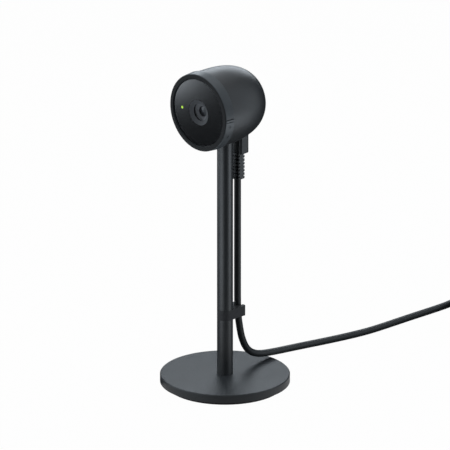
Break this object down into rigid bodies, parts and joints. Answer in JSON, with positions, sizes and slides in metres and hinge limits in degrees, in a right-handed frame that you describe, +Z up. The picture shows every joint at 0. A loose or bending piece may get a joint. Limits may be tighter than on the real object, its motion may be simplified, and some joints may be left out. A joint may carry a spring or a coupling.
{
  "type": "webcam on a pole stand",
  "caption": "Round camera head that tilts on a slim pole over a weighted round base, with a turning front ring that works a privacy shutter and a plugged-in cable.",
  "frame": {"origin": "middle of the foot pad's underside, on the table", "axes": "+Z up along the pole, the camera looks along -Y, +X to the right as seen from the front"},
  "size_m": [0.1052, 0.2703, 0.1925],
  "materials": {
    "base_paint": "fine matte",
    "pole_paint": "satin",
    "foot_rubber": "matte",
    "steel": "plain",
    "brass": "plain",
    "head_plastic": "fine satin",
    "inner_plastic": "matte black",
    "panel_gloss": "polished black",
    "lens_glass": "coated",
    "board_green": "solder mask",
    "connector_ivory": "plain",
    "ribbon_film": "satin film",
    "light_green": "clear tinted",
    "nylon": "plain",
    "cable_sheath": "matte"
  },
  "bodies": {
    "stand": {"base_plate": "base_paint", "foot_pad": "foot_rubber", "base_screw": "steel", "base_washer": "steel", "pole_tube": "pole_paint", "pole_insert": "brass", "hinge_knuckle": "steel", "cable_clip": "inner_plastic", "cable_drop": "cable_sheath", "cable_lead": "cable_sheath", "cable_coil": "cable_sheath", "coil_tie": "foot_rubber", "cable_tail": "cable_sheath", "far_plug_relief": "cable_sheath", "far_plug_body": "cable_sheath", "far_plug_tip": "steel"},
    "head": {"head_shell": "head_plastic", "front_hub": "inner_plastic", "hub_screws": "steel", "snap_ring": "steel", "shutter_pivot": "steel", "front_panel": "panel_gloss", "lens_bezel": "head_plastic", "lens_barrel": "head_plastic", "front_lens": "lens_glass", "rear_lens": "lens_glass", "infrared_filter": "lens_glass", "lens_holder": "inner_plastic", "image_sensor": "inner_plastic", "sensor_board": "board_green", "sensor_screws": "steel", "status_light": "light_green", "light_pipe": "light_green", "main_board": "board_green", "main_screws": "steel", "processor": "inner_plastic", "ribbon_connectors": "connector_ivory", "ribbon_cable": "ribbon_film", "usb_socket": "steel", "hinge_bracket": "steel", "bracket_screws": "steel", "hinge_pin": "steel", "friction_washers": "nylon", "spring_washer": "steel", "hinge_nut": "steel", "plug_relief": "cable_sheath", "plug_body": "cable_sheath", "plug_tip": "steel"},
    "shutter_ring": {"shutter_ring": "head_plastic"},
    "shutter_blade": {"shutter_blade": "inner_plastic"}
  },
  "joints": [
    {"name": "head_tilt", "type": "hinge", "parent": "stand", "child": "head", "pos_m": [0, 0, 0.157], "axis": [1, 0, 0], "range_deg": [-3, 20], "deforming": ["cable_drop"]},
    {"name": "ring_turn", "type": "hinge", "parent": "head", "child": "shutter_ring", "pos_m": [0, -0.02175, 0.1695], "axis": [0, 1, 0], "range_deg": [0, 40]},
    {"name": "blade_swing", "type": "hinge", "parent": "head", "child": "shutter_blade", "pos_m": [0, -0.0192, 0.1785], "axis": [0, 1, 0], "range_deg": [0, 76.8]}
  ],
  "couplings": [
    {"joint": "blade_swing", "follows": "ring_turn", "ratio": 1.92}
  ]
}
